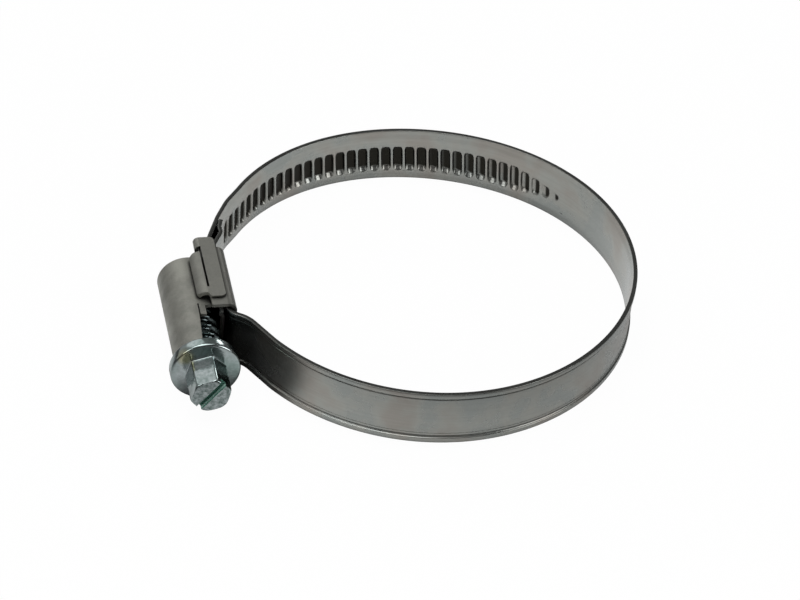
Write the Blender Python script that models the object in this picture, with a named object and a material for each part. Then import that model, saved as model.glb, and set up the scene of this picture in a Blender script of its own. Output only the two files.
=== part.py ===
# Worm drive hose clamp for a 12 mm wide band, drawn close to its widest setting.
# All sizes below are in millimetres and become metres in one place, when a mesh is made.
# The loop stands around the Z axis, the housing is on the -X side, and the screw's head points to -Y.
# In the housing a place is given as "out" (distance from the loop's axis), y along the screw, and z.

import math

import bmesh
import bpy
from mathutils import Vector

# Band
LOOP_RADIUS = 39.75
BAND_WIDTH = 12.0
BAND_THICKNESS = 0.8
LIP_WIDTH = 1.2
LIP_RISE = 0.3
# The loop isn't quite round: an offset, two-lobed and three-lobed part of its radius, as shares of it
LOOP_LOBES = ((1, 0.0017, 0.0061), (2, 0.0133, -0.0022), (3, 0.0052, 0.0066))

# Rack pressed into the band, with a flat margin between its pockets and the lips
RACK_PITCH = 2.43
POCKET_MARGIN = 1.7
POCKET_WIDTH = 1.5
POCKET_DEPTH = 0.7
POCKET_CREST_WIDTH = 0.6
POCKET_END_SLOPE = 0.7
POCKET_DROP = 0.8
POCKET_PINCH = 0.5
RACK_END_ANGLE = 34.5
POCKET_AT_ANGLE = 139.6
FADING_POCKETS = 4
FIRST_POCKET = 0.35

# Saddle bracket. Its seat for the hose lies a little inside the loop's middle line.
SEAT_INSET = 0.75
SADDLE_NEAR = -11.9
SADDLE_FAR = 4.9
WALL_BELOW_SCREW = 2.54
SHEET = 0.7
FOLD_RADIUS = 1.8
CLEARANCE = 0.3

# Crimped plates on the saddle's two sides
PLATE_NEAR = -10.0
PLATE_FAR = 7.3
PLATE_ABOVE_SEAT = 1.9
PLATE_STEP = 0.55
PLATE_CORNER = 1.0
CURL_BELOW_SCREW = 2.39
CURL_RADIUS = 2.2
CURL_ANGLE = 65.0
TONGUE_NEAR = -8.3
TONGUE_FAR = 3.2
TONGUE_LEAN = 0.6
TONGUE_CORNER = 0.9
SLIT_WIDTH = 0.3
SLIT_END = -6.0
SLIT_CORNER = 0.5
HOOK_NEAR = 4.7
HOOK_BELOW_SCREW = 1.54
HOOK_DROP = 4.2
HOOK_FOLD = 1.1

# Screw. Its core is as thick as the cover between the saddle's walls allows.
THREAD_DEPTH = 0.8
THREAD_ROOT_WIDTH = 1.5
THREAD_CREST_WIDTH = 0.6
THREAD_PLAY = 0.24
WORM_TIP = 2.9
TIP_CHAMFER = 0.6
COLLAR_REACH = 1.25
COLLAR_THICKNESS = 2.2
COLLAR_BEVEL = 0.5
COLLAR_DISH = 0.3
HEX_ACROSS_FLATS = 7.0
HEX_HEIGHT = 6.9
HEX_TURN = 16.0
HEX_CROWN = 1.0
HEX_END_RADIUS = 3.4
SLOT_WIDTH = 1.3
SLOT_DEPTH = 1.2
SLOT_TURN = 52.0

# Screw cover
COVER_FIT = 0.35
COVER_GAP = 0.45
COVER_SHEET = 0.7
COVER_NEAR = -20.4
COVER_FAR = 4.0
COVER_EDGE_RISE = 0.6
COVER_TAB_NEAR = -12.6
COVER_TAB_DROP = 1.4
COVER_LEG_NEAR = -10.2
COVER_LEG_LEAN = 0.6
COVER_FOOT = 0.5

# Worked out from the sizes above
HALF_WIDTH = BAND_WIDTH / 2
POCKET_LENGTH = BAND_WIDTH - 2 * (LIP_WIDTH + POCKET_MARGIN)
WALL_INNER = HALF_WIDTH + CLEARANCE
PLATE_SKIN = WALL_INNER + SHEET + PLATE_STEP
COVER_OUTER = WALL_INNER - COVER_FIT - COVER_FOOT
COVER_INNER = COVER_OUTER - COVER_SHEET
CORE_RADIUS = COVER_INNER - COVER_GAP - THREAD_DEPTH
COLLAR_RADIUS = COVER_OUTER + COLLAR_REACH
SADDLE_INNER = LOOP_RADIUS - SEAT_INSET
FIXED_OUT = SADDLE_INNER + SHEET + CLEARANCE + BAND_THICKNESS / 2
TAIL_OUT = FIXED_OUT + BAND_THICKNESS + CLEARANCE
TAIL_FACE = TAIL_OUT + BAND_THICKNESS / 2
SCREW_OUT = TAIL_FACE + POCKET_DEPTH + THREAD_PLAY + CORE_RADIUS
SADDLE_WALL_TOP = SCREW_OUT - WALL_BELOW_SCREW
PLATE_FOOT = SADDLE_INNER + PLATE_ABOVE_SEAT
CURL_START = SCREW_OUT - CURL_BELOW_SCREW
HOOK_OUT = SCREW_OUT - HOOK_BELOW_SCREW
COLLAR_BACK = COVER_NEAR - CLEARANCE
HELIX_SLOPE = RACK_PITCH / (2 * math.pi * (CORE_RADIUS + THREAD_DEPTH / 2))

# Where the fixed end steps in under the tail, as how far in, place along the screw, and bend radius
FIXED_TIP = (2.5, 14.1, 0.0)
FIXED_KNEE = (1.9, 12.2, 1.5)
FIXED_DIP = (2.0, 10.5, 1.5)
FIXED_LEVEL = (0.0, 6.8, 2.0)

# Where the band leaves the housing for the loop, in the same way
NEAR_LEVEL = (0.0, -12.6, 1.5)
NEAR_KNEE = (3.3, -14.6, 2.5)
NEAR_LOOP_ANGLE = 213.0
FAR_LOOP_ANGLE = 505.0
FAR_ENTRY = (5.5, 19.5, 15.0)
FAR_KNEE = (3.0, 14.9, 12.0)
FAR_LEVEL = (0.0, 7.9, 9.0)
TAIL_TIP = -11.0
TIP_ROUNDING = 2.0

# How finely the round forms are drawn
LOOP_STEP_DEGREES = 0.5
BEND_STEPS = 6
CORNER_STEPS = 5
CURL_STEPS = 6
TIP_STEPS = 3
CROWN_STEPS = 3
COVER_STEPS = 18
THREAD_STEPS = 16
COLLAR_SIDES = 36
BEND_RING_GAP = 0.4
PLAIN_RING_GAP = 2.9
FACING_STRETCH = 0.6
SMOOTH_ANGLE = 35.0

# How far a cutter or trimming body runs past what it trims
PAST = 1.0

MM = 0.001


def clear_scene():
    """Take away everything that Blender starts with."""
    for item in list(bpy.data.objects):
        bpy.data.objects.remove(item, do_unlink=True)


def steel(name, colour, metallic, roughness):
    """A plain metal finish of its own for one piece."""
    material = bpy.data.materials.new(name)
    material.use_nodes = True
    shader = material.node_tree.nodes["Principled BSDF"]
    shader.inputs["Base Color"].default_value = (*colour, 1.0)
    shader.inputs["Metallic"].default_value = metallic
    shader.inputs["Roughness"].default_value = roughness
    return material


def make_object(name, points, faces, origin=(0.0, 0.0, 0.0)):
    """One object from points in millimetres, with its faces turned outwards."""
    mesh = bpy.data.meshes.new(name)
    start = Vector(origin)
    mesh.from_pydata([(Vector(point) - start) * MM for point in points], [], faces)
    work = bmesh.new()
    work.from_mesh(mesh)
    bmesh.ops.recalc_face_normals(work, faces=work.faces)
    work.to_mesh(mesh)
    work.free()
    item = bpy.data.objects.new(name, mesh)
    item.location = start * MM
    bpy.context.scene.collection.objects.link(item)
    return item


def combine(base, other, operation):
    """Join, cut or intersect base with other, and take other away."""
    modifier = base.modifiers.new("combine", "BOOLEAN")
    modifier.operation = operation
    modifier.solver = "EXACT"
    modifier.object = other
    bpy.context.view_layer.update()
    graph = bpy.context.evaluated_depsgraph_get()
    result = bpy.data.meshes.new_from_object(base.evaluated_get(graph))
    base.modifiers.clear()
    base.data = result
    bpy.data.objects.remove(other, do_unlink=True)
    return base


def finish(item, material):
    """Give a piece its material and smooth its round faces."""
    item.data.materials.clear()
    item.data.materials.append(material)
    for polygon in item.data.polygons:
        polygon.use_smooth = True
        polygon.material_index = 0
    item.data.set_sharp_from_angle(angle=math.radians(SMOOTH_ANGLE))
    return item


def prism(name, outline, low, high, place):
    """A closed outline carried from low to high. place(a, b, level) gives the point in space."""
    count = len(outline)
    points = [place(a, b, low) for a, b in outline] + [place(a, b, high) for a, b in outline]
    faces = [tuple(range(count)), tuple(range(2 * count - 1, count - 1, -1))]
    for index in range(count):
        following = (index + 1) % count
        faces.append((index, following, following + count, index + count))
    return make_object(name, points, faces)


def across_screw(out, z, y):
    """Place a section drawn across the screw."""
    return (-out, y, z)


def along_side(y, out, z):
    """Place an outline drawn on the housing's side."""
    return (-out, y, z)


def rounded(corners):
    """A closed outline with its corners rounded. Each corner is (a, b, radius)."""
    outline = []
    count = len(corners)
    for index, (a, b, radius) in enumerate(corners):
        here = Vector((a, b))
        before = Vector(corners[index - 1][:2])
        after = Vector(corners[(index + 1) % count][:2])
        outline.extend(bend_points(before, here, after, radius, CORNER_STEPS))
    return [(point.x, point.y) for point in outline]


def bend_points(before, here, after, radius, steps):
    """The points of a bend of a given radius at the corner here, or the corner itself."""
    if radius <= 0:
        return [here]
    back = (before - here).normalized()
    ahead = (after - here).normalized()
    half = back.angle(ahead) / 2
    reach = radius / math.tan(half)
    centre = here + (back + ahead).normalized() * radius / math.sin(half)
    first = here + back * reach - centre
    last = here + ahead * reach - centre
    swing = math.pi - 2 * half
    points = []
    for step in range(steps + 1):
        share = step / steps
        a = math.sin((1 - share) * swing) / math.sin(swing)
        b = math.sin(share * swing) / math.sin(swing)
        points.append(centre + first * a + last * b)
    return points


def arc(centre_out, radius, first, last, steps):
    """Points of an arc in a section across the screw, angles in degrees from outwards."""
    points = []
    for step in range(steps + 1):
        angle = math.radians(first + (last - first) * step / steps)
        points.append((centre_out + radius * math.cos(angle), radius * math.sin(angle)))
    return points


def loop_point(angle):
    """A point of the loop's middle line, angle in degrees from +X."""
    turn = math.radians(angle)
    share = 1.0
    for lobes, cosine, sine in LOOP_LOBES:
        share += cosine * math.cos(lobes * turn) + sine * math.sin(lobes * turn)
    radius = LOOP_RADIUS * share
    return Vector((radius * math.cos(turn), radius * math.sin(turn)))


def band_route():
    """The band's middle line seen from above, from the fixed end's tip to the tail's tip."""
    tongue = stepped_in(FIXED_OUT, FIXED_TIP, FIXED_KNEE, FIXED_DIP, FIXED_LEVEL)
    near = stepped_in(FIXED_OUT, NEAR_LEVEL, NEAR_KNEE)
    far = stepped_in(TAIL_OUT, FAR_ENTRY, FAR_KNEE, FAR_LEVEL)
    steps = int((FAR_LOOP_ANGLE - NEAR_LOOP_ANGLE) / LOOP_STEP_DEGREES)
    loop = [loop_point(NEAR_LOOP_ANGLE + step * LOOP_STEP_DEGREES) for step in range(steps + 1)]
    tip = Vector((-TAIL_OUT, TAIL_TIP))
    route = [tongue[0][0]]
    route += rounded_bends(tongue + near + [(loop[0], 0.0)])
    route += loop
    route += rounded_bends([(loop[-1], 0.0)] + far + [(tip, 0.0)])
    route.append(tip)
    return route


def stepped_in(level, *steps):
    """Corners of the band's line, each some way in from its level in the housing, with bend radii."""
    return [(Vector((inwards - level, y)), radius) for inwards, y, radius in steps]


def rounded_bends(corners):
    """The points of an open line with its bends rounded, without its first and last corner."""
    points = []
    for index in range(1, len(corners) - 1):
        here, radius = corners[index]
        points.extend(bend_points(corners[index - 1][0], here, corners[index + 1][0], radius, BEND_STEPS))
    return points


class Route:
    """A line seen from above that can be asked for a place at any length along it."""

    def __init__(self, points):
        self.points = points
        self.lengths = [0.0]
        for first, second in zip(points, points[1:]):
            self.lengths.append(self.lengths[-1] + (second - first).length)
        self.total = self.lengths[-1]

    def at(self, length):
        """The point at a length, carried on straight past both ends."""
        low, high = 1, len(self.points) - 1
        while low < high:
            middle = (low + high) // 2
            if self.lengths[middle] < length:
                low = middle + 1
            else:
                high = middle
        span = self.lengths[low] - self.lengths[low - 1]
        share = (length - self.lengths[low - 1]) / span
        return self.points[low - 1].lerp(self.points[low], share)

    def outward(self, length):
        """The direction away from the loop's inside at a length, averaged over a short stretch."""
        along = (self.at(length + FACING_STRETCH) - self.at(length - FACING_STRETCH)).normalized()
        return Vector((along.y, -along.x))

    def length_at_angle(self, angle):
        """The length at which the loop passes an angle."""
        wanted = loop_point(angle)
        nearest = min(range(len(self.points)), key=lambda i: (self.points[i] - wanted).length)
        return self.lengths[nearest]


def pocket_places(route):
    """The lengths of all pockets, from the last one on the loop to the one nearest the tail's tip."""
    anchor = route.length_at_angle(360.0 + POCKET_AT_ANGLE)
    first = route.length_at_angle(360.0 + RACK_END_ANGLE)
    last = route.total - TIP_ROUNDING - POCKET_WIDTH
    before = int((anchor - first) / RACK_PITCH)
    after = int((last - anchor) / RACK_PITCH)
    return [anchor + step * RACK_PITCH for step in range(-before, after + 1)]


def lip(z):
    """How far the band's edge is flared outwards at z."""
    return LIP_RISE * max(0.0, abs(z) - (HALF_WIDTH - LIP_WIDTH)) / LIP_WIDTH


def band_ring(route, length, slope, pinch, size, raised, width=1.0):
    """One closed ring of the band: its inner side up, then its outer side down."""
    half = POCKET_LENGTH / 2 * size
    inner_half = half - POCKET_END_SLOPE * size
    levels = [(-HALF_WIDTH, 0), (-HALF_WIDTH + LIP_WIDTH, 0),
              (-POCKET_DROP - half, 0), (-POCKET_DROP - inner_half, 1),
              (-POCKET_DROP + inner_half, 1), (-POCKET_DROP + half, 0),
              (HALF_WIDTH - LIP_WIDTH, 0), (HALF_WIDTH, 0)]
    inner, outer = [], []
    for index, (z, on_pocket) in enumerate(levels):
        along = length + slope * z
        if index in (2, 5):
            along += pinch
        place = route.at(along)
        outward = route.outward(along)
        lift = lip(z) + (raised * on_pocket)
        z *= width
        low = place + outward * (lift - BAND_THICKNESS / 2)
        high = place + outward * (lift + BAND_THICKNESS / 2)
        inner.append((low.x, low.y, z))
        outer.append((high.x, high.y, z))
    return inner + outer[::-1]


def build_band(route):
    """The whole strip as one loft: smooth where it's plain, four rings for each pressed pocket."""
    rings = []
    places = pocket_places(route)
    rack_start = places[0] - RACK_PITCH
    plain = [0.0]
    straight_end = route.length_at_angle(NEAR_LOOP_ANGLE)
    for length in route.lengths[1:]:
        if length >= straight_end:
            break
        if length - plain[-1] > BEND_RING_GAP:
            plain.append(length)
    steps = round((rack_start - plain[-1]) / PLAIN_RING_GAP)
    start = plain[-1]
    plain.extend(start + (rack_start - start) * step / steps for step in range(1, steps + 1))
    rings.extend(band_ring(route, length, 0.0, 0.0, 1.0, 0.0) for length in plain)
    half = POCKET_WIDTH / 2
    crest = POCKET_CREST_WIDTH / 2
    for index, place in enumerate(places):
        size = FIRST_POCKET + (1 - FIRST_POCKET) * min(1.0, index / FADING_POCKETS)
        for offset, raised in ((-half, 0), (-crest, 1), (crest, 1), (half, 0)):
            rings.append(band_ring(route, place + offset, HELIX_SLOPE, -offset * POCKET_PINCH, size,
                                   raised * POCKET_DEPTH * size))
    for step in range(TIP_STEPS + 1):
        turn = math.pi / 2 * step / TIP_STEPS
        back = TIP_ROUNDING * (1 - math.sin(turn))
        width = 1 - TIP_ROUNDING / HALF_WIDTH * (1 - math.cos(turn))
        rings.append(band_ring(route, route.total - back, 0.0, 0.0, 1.0, 0.0, width))
    return loft("band", rings)


def loft(name, rings, origin=(0.0, 0.0, 0.0)):
    """A closed solid through rings of the same number of points."""
    count = len(rings[0])
    points = [point for ring in rings for point in ring]
    faces = [tuple(range(count)), tuple(range(len(points) - 1, len(points) - count - 1, -1))]
    for row in range(len(rings) - 1):
        for index in range(count):
            following = (index + 1) % count
            faces.append((row * count + index, row * count + following,
                          (row + 1) * count + following, (row + 1) * count + index))
    return make_object(name, points, faces, origin)


def build_bracket():
    """The saddle under the band with its folded walls and the crimped plate on each side."""
    top = WALL_INNER + SHEET
    inner_fold = FOLD_RADIUS - SHEET
    section = rounded([
        (SADDLE_WALL_TOP, top, 0), (SADDLE_INNER, top, FOLD_RADIUS),
        (SADDLE_INNER, -top, FOLD_RADIUS), (SADDLE_WALL_TOP, -top, 0),
        (SADDLE_WALL_TOP, -WALL_INNER, 0), (SADDLE_INNER + SHEET, -WALL_INNER, inner_fold),
        (SADDLE_INNER + SHEET, WALL_INNER, inner_fold), (SADDLE_WALL_TOP, WALL_INNER, 0)])
    bracket = prism("saddle_bracket", section, SADDLE_NEAR, SADDLE_FAR, across_screw)
    for side in (1, -1):
        plate = combine(crimped_plate(side), folded_hook(side), "UNION")
        combine(bracket, plate, "UNION")
    return bracket


def curled_sheet(name, outline, side):
    """A sheet that lies flat on the saddle's wall and curls over the cover, trimmed to an outline."""
    centre_z = PLATE_SKIN - SHEET / 2 - CURL_RADIUS
    section = [(PLATE_FOOT, PLATE_SKIN)]
    section += curl(CURL_START, centre_z, CURL_RADIUS + SHEET / 2, 0, CURL_ANGLE)
    section += curl(CURL_START, centre_z, CURL_RADIUS - SHEET / 2, CURL_ANGLE, 0)
    section.append((PLATE_FOOT, PLATE_SKIN - SHEET))
    return trimmed_sheet(name, section, outline, side)


def curl(out, z, radius, first, last):
    """Points of a curl that starts flat and turns down, angles in degrees from the flat."""
    points = []
    for step in range(CURL_STEPS + 1):
        turn = math.radians(first + (last - first) * step / CURL_STEPS)
        points.append((out + radius * math.sin(turn), z + radius * math.cos(turn)))
    return points


def trimmed_sheet(name, section, outline, side):
    """A bent sheet run along the housing, then trimmed to the outline seen from its side."""
    section = [(out, side * z) for out, z in section]
    sheet = prism(name, section, PLATE_NEAR - PAST, PLATE_FAR + PAST, across_screw)
    deepest = PLATE_SKIN - max(HOOK_DROP, CURL_RADIUS)
    low, high = sorted((side * (deepest - PAST), side * (PLATE_SKIN + PAST)))
    return combine(sheet, prism("trim", outline, low, high, along_side), "INTERSECT")


def crimped_plate(side):
    """The plate on one side of the saddle with its tongue, which is crimped over the cover's edge."""
    slit_low = CURL_START - SLIT_WIDTH / 2
    slit_high = CURL_START + SLIT_WIDTH / 2
    edge = CURL_START + CURL_RADIUS
    outline = rounded([
        (PLATE_NEAR, PLATE_FOOT, PLATE_CORNER), (PLATE_NEAR, slit_low, SLIT_CORNER),
        (TONGUE_NEAR - TONGUE_LEAN, slit_high, SLIT_CORNER), (TONGUE_NEAR, edge, TONGUE_CORNER),
        (TONGUE_FAR, edge, TONGUE_CORNER), (TONGUE_FAR, slit_high, 0),
        (SLIT_END, slit_high, 0), (SLIT_END, slit_low, 0), (PLATE_FAR, slit_low, SLIT_CORNER),
        (PLATE_FAR, PLATE_FOOT, PLATE_CORNER)])
    return curled_sheet("plate", outline, side)


def folded_hook(side):
    """The hook at the plate's far end: it reaches outwards past the cover and folds down."""
    start = HOOK_OUT - HOOK_FOLD
    section = [(PLATE_FOOT + SHEET, PLATE_SKIN)] + curl(start, PLATE_SKIN - HOOK_FOLD, HOOK_FOLD, 0, 90)
    section += [(HOOK_OUT, PLATE_SKIN - HOOK_DROP), (HOOK_OUT - SHEET, PLATE_SKIN - HOOK_DROP)]
    section += curl(start, PLATE_SKIN - HOOK_FOLD, HOOK_FOLD - SHEET, 90, 0)
    section.append((PLATE_FOOT + SHEET, PLATE_SKIN - SHEET))
    outline = rounded([(HOOK_NEAR, PLATE_FOOT, 0), (HOOK_NEAR, HOOK_OUT + PAST, 0),
                       (PLATE_FAR, HOOK_OUT + PAST, 0), (PLATE_FAR, PLATE_FOOT, PLATE_CORNER)])
    return trimmed_sheet("hook", section, outline, side)


def build_cover():
    """The half-round cover over the worm: a folded section trimmed to its side outline."""
    foot = TAIL_FACE + LIP_RISE + CLEARANCE
    outer, inner = COVER_OUTER, COVER_INNER
    flange = outer + COVER_FOOT
    section = [(foot, flange), (foot + COVER_SHEET, flange), (foot + COVER_SHEET, outer)]
    section += arc(SCREW_OUT, outer, 90, -90, COVER_STEPS)
    section += [(foot + COVER_SHEET, -outer), (foot + COVER_SHEET, -flange), (foot, -flange),
                (foot, -inner)]
    section += arc(SCREW_OUT, inner, -90, 90, COVER_STEPS)
    section += [(foot, inner)]
    cover = prism("screw_cover", section, COVER_NEAR, COVER_FAR, across_screw)

    wall_edge = (inner + outer) / 2
    wall_foot = TAIL_FACE + POCKET_DEPTH + CLEARANCE
    wall = arc(SCREW_OUT, wall_edge, 90, -90, COVER_STEPS) + [(wall_foot, -wall_edge), (wall_foot, wall_edge)]
    combine(cover, prism("wall", wall, COVER_FAR - COVER_SHEET, COVER_FAR, across_screw), "UNION")

    top = SCREW_OUT + outer + PAST
    tab = SCREW_OUT - COVER_TAB_DROP
    trim = [(COVER_NEAR - PAST, SCREW_OUT + COVER_EDGE_RISE), (COVER_TAB_NEAR, SCREW_OUT),
            (COVER_TAB_NEAR, tab), (COVER_LEG_NEAR, tab), (COVER_LEG_NEAR + COVER_LEG_LEAN, foot - PAST),
            (COVER_FAR + PAST, foot - PAST), (COVER_FAR + PAST, top), (COVER_NEAR - PAST, top)]
    return combine(cover, prism("trim", trim, -flange - PAST, flange + PAST, along_side), "INTERSECT")


def screw_point(y, radius, turn):
    """A point around the screw's axis. turn is in degrees from inwards, towards the top."""
    angle = math.radians(turn)
    return (-SCREW_OUT + radius * math.cos(angle), y, radius * math.sin(angle))


def turned(name, profile):
    """A solid turned about the screw's axis. The profile is (y, radius), with radius 0 at both ends."""
    sides = COLLAR_SIDES
    points = [screw_point(profile[0][0], 0.0, 0.0)]
    faces = []
    for y, radius in profile[1:-1]:
        points.extend(screw_point(y, radius, 360 * side / sides) for side in range(sides))
    points.append(screw_point(profile[-1][0], 0.0, 0.0))
    last = len(points) - 1
    rows = len(profile) - 2
    for side in range(sides):
        following = (side + 1) % sides
        faces.append((0, 1 + following, 1 + side))
        faces.append((last, last - sides + side, last - sides + following))
        for row in range(rows - 1):
            a = 1 + row * sides
            faces.append((a + side, a + following, a + sides + following, a + sides + side))
    return make_object(name, points, faces, (-SCREW_OUT, 0.0, 0.0))


def build_worm(crest_y):
    """The threaded shank: a right-hand ridge wound round a core, one strip of faces for each turn."""
    shares = (0.0, 0.5 - THREAD_ROOT_WIDTH / RACK_PITCH / 2, 0.5 - THREAD_CREST_WIDTH / RACK_PITCH / 2,
              0.5 + THREAD_CREST_WIDTH / RACK_PITCH / 2, 0.5 + THREAD_ROOT_WIDTH / RACK_PITCH / 2)
    columns = len(shares)
    near = COLLAR_BACK - 0.5 * COLLAR_THICKNESS
    start = crest_y - 0.5 * RACK_PITCH
    while start - RACK_PITCH > COLLAR_BACK + CLEARANCE:
        start -= RACK_PITCH
    turns = int((WORM_TIP - TIP_CHAMFER - CLEARANCE - start) / RACK_PITCH) - 1
    rows = turns * THREAD_STEPS
    fade = THREAD_STEPS // 2
    points, index_of = [], {}
    for row in range(rows + 1):
        swell = min(1.0, row / fade, (rows - row) / fade)
        for column, share in enumerate(shares):
            ridge = THREAD_DEPTH * swell if column in (2, 3) else 0.0
            y = start + RACK_PITCH * (row / THREAD_STEPS + share)
            index_of[row, column] = len(points)
            points.append(screw_point(y, CORE_RADIUS + ridge, -360 * row / THREAD_STEPS))
    for row in range(rows - THREAD_STEPS + 1, rows + 1):
        index_of[row, columns] = len(points)
        y = start + RACK_PITCH * (row / THREAD_STEPS + 1)
        points.append(screw_point(y, CORE_RADIUS, -360 * row / THREAD_STEPS))
    for row in range(rows - THREAD_STEPS + 1):
        index_of[row, columns] = index_of[row + THREAD_STEPS, 0]
    faces = []
    for row in range(rows):
        for column in range(columns):
            faces.append((index_of[row, column], index_of[row, column + 1],
                          index_of[row + 1, column + 1], index_of[row + 1, column]))
    near_ring, far_ring, tip_ring = [], [], []
    for ring, y, radius in ((near_ring, near, CORE_RADIUS), (far_ring, WORM_TIP - TIP_CHAMFER, CORE_RADIUS),
                            (tip_ring, WORM_TIP, CORE_RADIUS - TIP_CHAMFER)):
        for step in range(THREAD_STEPS):
            ring.append(len(points))
            points.append(screw_point(y, radius, -360 * step / THREAD_STEPS))
    for step in range(THREAD_STEPS):
        following = (step + 1) % THREAD_STEPS
        faces.append((far_ring[step], far_ring[following], tip_ring[following], tip_ring[step]))
    faces.append(tuple(near_ring))
    faces.append(tuple(tip_ring))
    for step in range(THREAD_STEPS - 1):
        faces.append((near_ring[step], near_ring[step + 1], index_of[step + 1, 0], index_of[step, 0]))
    seam = [near_ring[0]] + [index_of[0, column] for column in range(columns + 1)]
    seam.append(index_of[THREAD_STEPS - 1, 0])
    faces.extend((near_ring[-1], seam[i], seam[i + 1]) for i in range(len(seam) - 1))
    base = rows - THREAD_STEPS
    for step in range(1, THREAD_STEPS):
        first = far_ring[(base + step) % THREAD_STEPS]
        second = far_ring[(base + step + 1) % THREAD_STEPS]
        faces.append((index_of[base + step, columns], index_of[base + step + 1, columns], second, first))
    seam = [far_ring[base % THREAD_STEPS], index_of[rows, columns]]
    seam += [index_of[rows, column] for column in range(columns - 1, -1, -1)]
    seam.append(index_of[base + 1, columns])
    corner = far_ring[(base + 1) % THREAD_STEPS]
    faces.extend((corner, seam[i], seam[i + 1]) for i in range(len(seam) - 1))
    return make_object("worm_screw", points, faces, (-SCREW_OUT, 0.0, 0.0))


def build_screw(crest_y):
    """The screw in one piece: worm, collar and slotted hexagon head."""
    screw = build_worm(crest_y)
    front = COLLAR_BACK - COLLAR_THICKNESS
    collar = turned("collar", [
        (COLLAR_BACK, 0), (COLLAR_BACK, COLLAR_RADIUS), (front + COLLAR_BEVEL, COLLAR_RADIUS),
        (front, COLLAR_RADIUS - COLLAR_BEVEL), (front, COLLAR_RADIUS - 2 * COLLAR_BEVEL),
        (front + COLLAR_DISH, HEX_ACROSS_FLATS / 2), (front + COLLAR_DISH, 0)])
    combine(screw, collar, "UNION")
    corner = HEX_ACROSS_FLATS / math.sqrt(3)
    end = front - HEX_HEIGHT
    root = COLLAR_BACK - COLLAR_THICKNESS / 3
    hexagon = prism("hexagon", [(corner, HEX_TURN + 60 * side) for side in range(6)], end, root,
                    lambda radius, turn, y: screw_point(y, radius, turn))
    profile = [(root + PAST, 0), (root + PAST, corner + PAST)]
    for step in range(CROWN_STEPS + 1):
        turn = math.pi / 2 * step / CROWN_STEPS
        radius = corner - (corner - HEX_END_RADIUS) * (1 - math.cos(turn))
        profile.append((end + HEX_CROWN * (1 - math.sin(turn)), radius))
    combine(hexagon, turned("crown", profile + [(end, 0)]), "INTERSECT")
    combine(screw, hexagon, "UNION")
    half = SLOT_WIDTH / 2
    reach = 2 * corner
    angle = math.radians(SLOT_TURN)
    corners = []
    for along, across in ((-reach, -half), (reach, -half), (reach, half), (-reach, half)):
        corners.append((along * math.cos(angle) - across * math.sin(angle),
                        along * math.sin(angle) + across * math.cos(angle)))
    slot = prism("slot", corners, end - PAST, end + SLOT_DEPTH, lambda a, b, y: (-SCREW_OUT + a, y, b))
    return combine(screw, slot, "DIFFERENCE")


def settle(pieces):
    """Move all pieces so that the part stands centred on the origin with its lowest point at zero."""
    corners = [piece.matrix_world @ vertex.co for piece in pieces for vertex in piece.data.vertices]
    low = [min(corner[axis] for corner in corners) for axis in range(3)]
    high = [max(corner[axis] for corner in corners) for axis in range(3)]
    shift = Vector(((low[0] + high[0]) / 2, (low[1] + high[1]) / 2, low[2]))
    for piece in pieces:
        piece.location -= shift


def main():
    clear_scene()
    route = Route(band_route())
    crest_y = TAIL_TIP + route.total - pocket_places(route)[-1] + 0.5 * RACK_PITCH
    band = build_band(route)
    bracket = build_bracket()
    cover = build_cover()
    screw = build_screw(crest_y)
    finish(band, steel("rolled_strip_steel", (0.52, 0.52, 0.5), 0.9, 0.35))
    finish(bracket, steel("pressed_sheet_steel", (0.45, 0.45, 0.42), 0.7, 0.5))
    finish(cover, steel("drawn_sheet_steel", (0.45, 0.45, 0.42), 0.7, 0.5))
    finish(screw, steel("zinc_plated_steel", (0.62, 0.68, 0.68), 0.9, 0.25))
    bpy.context.view_layer.update()
    settle([band, bracket, cover, screw])


main()
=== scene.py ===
from bisect import bisect_left
import math

import bmesh
import bpy
from bpy.props import FloatProperty, FloatVectorProperty, PointerProperty
from bpy.types import Operator, Panel, PropertyGroup
from mathutils import Matrix, Vector


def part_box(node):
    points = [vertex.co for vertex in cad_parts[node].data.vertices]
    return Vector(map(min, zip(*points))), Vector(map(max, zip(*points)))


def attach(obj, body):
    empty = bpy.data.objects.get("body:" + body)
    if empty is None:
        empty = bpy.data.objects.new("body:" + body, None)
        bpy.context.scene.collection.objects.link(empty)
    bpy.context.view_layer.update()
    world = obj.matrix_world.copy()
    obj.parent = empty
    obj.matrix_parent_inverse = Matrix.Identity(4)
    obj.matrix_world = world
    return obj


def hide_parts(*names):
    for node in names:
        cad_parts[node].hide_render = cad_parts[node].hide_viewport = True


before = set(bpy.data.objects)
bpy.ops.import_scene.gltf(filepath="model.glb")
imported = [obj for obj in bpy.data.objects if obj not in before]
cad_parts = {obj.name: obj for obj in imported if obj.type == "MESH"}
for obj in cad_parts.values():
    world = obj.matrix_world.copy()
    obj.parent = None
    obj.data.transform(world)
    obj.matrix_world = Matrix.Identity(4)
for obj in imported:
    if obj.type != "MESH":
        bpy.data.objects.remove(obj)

bl_info = {
    "name": "Worm drive hose clamp",
    "version": (1, 0, 0),
    "blender": (4, 5, 0),
    "location": "3D View > Sidebar > Hose clamp",
    "description": "Dresses a packed worm drive hose clamp in rolled, pressed and plated steel",
    "category": "Add Mesh",
}

# Sizes are in millimetres unless a name says otherwise, and MM turns them into metres.
MM = 0.001

# Band. Each of the loop's lobes is (times round, share along the cosine, share along the sine).
LOOP_RADIUS = 39.75
LOOP_LOBES = ((1, 0.0017, 0.0061), (2, 0.0133, -0.0022), (3, 0.0052, 0.0066))
BAND_WIDTH = 12.0
BAND_THICKNESS = 0.8
HALF_WIDTH = BAND_WIDTH / 2
LIP_WIDTH = 1.25
LIP_STEP = 0.3
INNER_FLARE_WIDTH = 2.4
GROOVE_PLACE = 4.55
GROOVE_HALF = 0.18
GROOVE_SHADE = 0.6

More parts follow.
